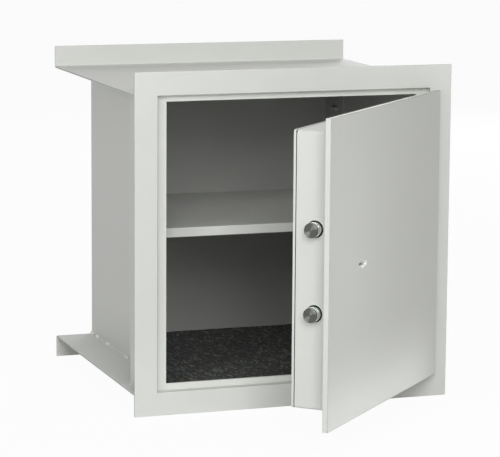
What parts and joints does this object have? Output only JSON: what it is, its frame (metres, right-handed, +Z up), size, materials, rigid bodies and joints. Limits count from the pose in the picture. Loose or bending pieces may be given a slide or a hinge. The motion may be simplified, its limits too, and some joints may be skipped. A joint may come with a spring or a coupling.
{
  "type": "wall safe",
  "caption": "Built-in wall safe: steel body with anchor plates behind a flush front frame, a lift-off shelf, and a hinged door whose key lock slides round bolts.",
  "frame": {"origin": "middle of the front frame's back plane, the plane of the wall face", "axes": "+X to the hinge side, +Y into the wall away from the room, +Z up"},
  "size_m": [0.42, 0.6467, 0.43],
  "materials": {
    "paint": "fine-textured powder coat, light grey, satin",
    "inner_paint": "fine-textured powder coat, light grey, satin",
    "steel": "turned and ground steel",
    "bolt_steel": "turned steel, nickel plated",
    "zinc": "zinc plated",
    "brass": "machined",
    "felt": "dark felt"
  },
  "bodies": {
    "housing": {"front_frame": "paint", "lock_side_lip": "paint", "hinge_side_lip": "paint", "top_lip": "paint", "bottom_lip": "paint", "keeper_bar": "inner_paint", "lock_side_jamb": "paint", "hinge_side_jamb": "paint", "lock_side_wall": "paint", "hinge_side_wall": "paint", "rear_wall": "inner_paint", "rear_plate": "paint", "top_anchor_plate": "paint", "bottom_anchor_plate": "paint", "upper_hinge_bracket": "zinc", "lower_hinge_bracket": "zinc", "hinge_pins": "steel", "shelf_lugs": "inner_paint", "floor_mat": "felt"},
    "shelf_body": {"shelf": "inner_paint"},
    "door": {"door_plate": "paint", "bolt_box": "paint", "box_cover": "paint", "cover_screws": "zinc", "upper_hinge_arm": "zinc", "lower_hinge_arm": "zinc", "hinge_bushes": "brass", "hard_plate": "steel", "lock_case": "zinc", "lock_cover": "zinc", "lock_screws": "steel", "lever_post": "steel", "bolt_guides": "zinc", "bar_guides": "zinc"},
    "boltwork": {"bolt_bar": "zinc", "upper_bolt": "bolt_steel", "lower_bolt": "bolt_steel", "bolt_nuts": "zinc", "lock_bolt": "brass"},
    "curtain": {"key_curtain": "brass"},
    "levers": {"lever_pack": "brass"}
  },
  "joints": [
    {"name": "door_swing", "type": "hinge", "parent": "housing", "child": "door", "pos_m": [0.197, 0.007, 0], "axis": [0, 0, 1], "range_deg": [-46, 49]},
    {"name": "bolt_throw", "type": "slide", "parent": "door", "child": "boltwork", "axis": [-0.6947, -0.7193, 0], "range_m": [0, 0.02]},
    {"name": "curtain_turn", "type": "hinge", "parent": "door", "child": "curtain", "pos_m": [-0.00269, -0.18107, 0], "axis": [0.7193, -0.6947, 0], "range_deg": [0, 180]},
    {"name": "lever_lift", "type": "hinge", "parent": "door", "child": "levers", "pos_m": [0.01185, -0.16313, 0.02], "axis": [-0.7193, 0.6947, 0], "range_deg": [0, 6], "stiffness_Nm_per_rad": 0.05, "springref_deg": -22.92},
    {"name": "shelf_lift", "type": "slide", "parent": "housing", "child": "shelf_body", "axis": [0, 0, 1], "range_m": [0, 0.11]}
  ],
  "couplings": [
    {"joint": "curtain_turn", "follows": "bolt_throw", "rad_per_m": 157.07}
  ]
}
